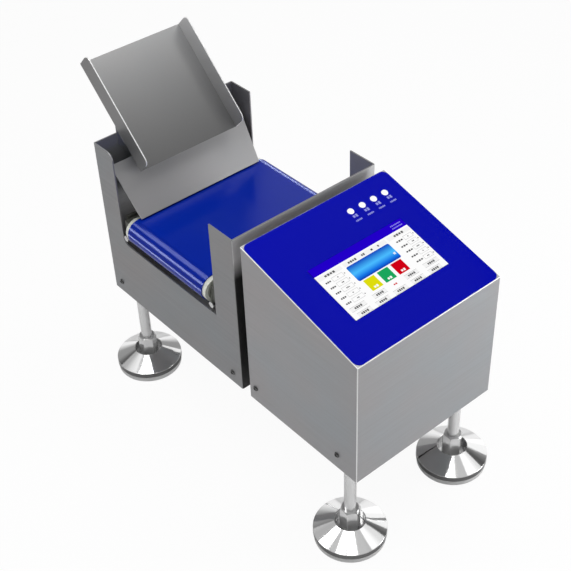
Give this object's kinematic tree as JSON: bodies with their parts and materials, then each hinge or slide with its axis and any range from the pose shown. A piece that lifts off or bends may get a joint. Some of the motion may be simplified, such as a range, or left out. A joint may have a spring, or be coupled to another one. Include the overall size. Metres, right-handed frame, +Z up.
{
  "type": "checkweigher",
  "caption": "Small stainless checkweigher with a sloped infeed tray, a blue weigh belt on a load cell, a sloped touch-screen control box and levelling feet.",
  "frame": {"origin": "on the floor, under the middle of the machine's overall box", "axes": "+X towards the control box, -Y to the front where the screws show, +Z up"},
  "size_m": [0.6034, 0.294, 0.4958],
  "materials": {
    "stainless": "satin brushed stainless sheet",
    "polished_steel": "turned and polished stainless steel",
    "fasteners": "bright zinc or stainless screws",
    "bearing_steel": "ground bearing steel",
    "roller_metal": "turned aluminium",
    "bare_alloy": "plain milled aluminium",
    "dark_alloy": "dark anodised aluminium",
    "motor_paint": "black enamel",
    "supply_case": "folded galvanised case",
    "belt_blue": "smooth blue polyurethane belt",
    "timing_rubber": "black rubber",
    "panel_blue": "printed blue film",
    "screen_glass": "lit touch screen under glass",
    "lamp_white": "white lamp lenses",
    "black_plastic": "black moulded plastic",
    "circuit_board": "green circuit board"
  },
  "bodies": {
    "machine": {"conveyor_housing": "stainless", "control_housing": "stainless", "guide_plate": "stainless", "chute_tray": "stainless", "chute_support": "stainless", "guide_brackets": "stainless", "drive_cover": "stainless", "conveyor_base": "stainless", "control_base": "stainless", "slider_bed": "stainless", "foot_sockets": "stainless", "housing_screws": "fasteners", "joining_bolts": "fasteners", "load_cell_bolts": "fasteners", "frame_screws": "fasteners", "side_plate_screws": "fasteners", "tension_screws": "fasteners", "wall_screws": "fasteners", "roller_bearings": "bearing_steel", "cross_rods": "roller_metal", "load_cell": "bare_alloy", "load_cell_blocks": "bare_alloy", "weigh_frame": "bare_alloy", "side_plate_left": "dark_alloy", "side_plate_right": "dark_alloy", "bearing_blocks": "dark_alloy", "motor_driver": "dark_alloy", "drive_motor": "motor_paint", "power_supply": "supply_case", "weigh_belt": "belt_blue", "timing_belt": "timing_rubber", "panel_overlay": "panel_blue", "display_glass": "screen_glass", "indicator_lamps": "lamp_white", "display_module": "black_plastic", "joining_spacers": "black_plastic", "cable_conduit": "black_plastic", "signal_cable": "black_plastic", "power_inlet": "black_plastic", "switch_frame": "black_plastic", "lamp_board": "circuit_board", "controller_board": "circuit_board"},
    "drive_roller": {"drive_roller": "roller_metal", "roller_pulley": "bare_alloy"},
    "idler_roller": {"idler_roller": "roller_metal"},
    "motor_rotor": {"motor_shaft": "bearing_steel", "motor_pulley": "bare_alloy"},
    "switch_rocker": {"power_rocker": "black_plastic"},
    "stem_front_left": {"foot_stem_front_left": "polished_steel", "foot_nut_front_left": "polished_steel"},
    "pad_front_left": {"foot_pad_front_left": "polished_steel"},
    "stem_rear_left": {"foot_stem_rear_left": "polished_steel", "foot_nut_rear_left": "polished_steel"},
    "pad_rear_left": {"foot_pad_rear_left": "polished_steel"},
    "stem_front_right": {"foot_stem_front_right": "polished_steel", "foot_nut_front_right": "polished_steel"},
    "pad_front_right": {"foot_pad_front_right": "polished_steel"},
    "stem_rear_right": {"foot_stem_rear_right": "polished_steel", "foot_nut_rear_right": "polished_steel"},
    "pad_rear_right": {"foot_pad_rear_right": "polished_steel"}
  },
  "joints": [
    {"name": "drive_roller_spin", "type": "hinge", "parent": "machine", "child": "drive_roller", "pos_m": [-0.0838, 0.107, 0.2795], "axis": [1, 0, 0], "continuous": true},
    {"name": "idler_roller_spin", "type": "hinge", "parent": "machine", "child": "idler_roller", "pos_m": [-0.0838, -0.107, 0.2795], "axis": [1, 0, 0], "continuous": true},
    {"name": "motor_spin", "type": "hinge", "parent": "machine", "child": "motor_rotor", "pos_m": [-0.0838, 0.045, 0.2285], "axis": [1, 0, 0], "continuous": true},
    {"name": "switch_rock", "type": "hinge", "parent": "machine", "child": "switch_rocker", "pos_m": [0.1972, 0.1165, 0.254], "axis": [1, 0, 0], "range_deg": [-18, 0]},
    {"name": "level_front_left", "type": "slide", "parent": "machine", "child": "stem_front_left", "axis": [0, 0, 1], "range_m": [-0.02, 0.02]},
    {"name": "swivel_front_left", "type": "hinge", "parent": "stem_front_left", "child": "pad_front_left", "pos_m": [-0.2048, -0.0975, 0.014], "axis": [0, 1, 0], "range_deg": [-6, 6]},
    {"name": "level_rear_left", "type": "slide", "parent": "machine", "child": "stem_rear_left", "axis": [0, 0, 1], "range_m": [-0.02, 0.02]},
    {"name": "swivel_rear_left", "type": "hinge", "parent": "stem_rear_left", "child": "pad_rear_left", "pos_m": [-0.2048, 0.0975, 0.014], "axis": [0, 1, 0], "range_deg": [-6, 6]},
    {"name": "level_front_right", "type": "slide", "parent": "machine", "child": "stem_front_right", "axis": [0, 0, 1], "range_m": [-0.02, 0.02]},
    {"name": "swivel_front_right", "type": "hinge", "parent": "stem_front_right", "child": "pad_front_right", "pos_m": [0.2522, -0.0975, 0.014], "axis": [0, 1, 0], "range_deg": [-6, 6]},
    {"name": "level_rear_right", "type": "slide", "parent": "machine", "child": "stem_rear_right", "axis": [0, 0, 1], "range_m": [-0.02, 0.02]},
    {"name": "swivel_rear_right", "type": "hinge", "parent": "stem_rear_right", "child": "pad_rear_right", "pos_m": [0.2522, 0.0975, 0.014], "axis": [0, 1, 0], "range_deg": [-6, 6]}
  ],
  "couplings": [
    {"joint": "idler_roller_spin", "follows": "drive_roller_spin", "ratio": 1},
    {"joint": "motor_spin", "follows": "drive_roller_spin", "ratio": 1}
  ]
}
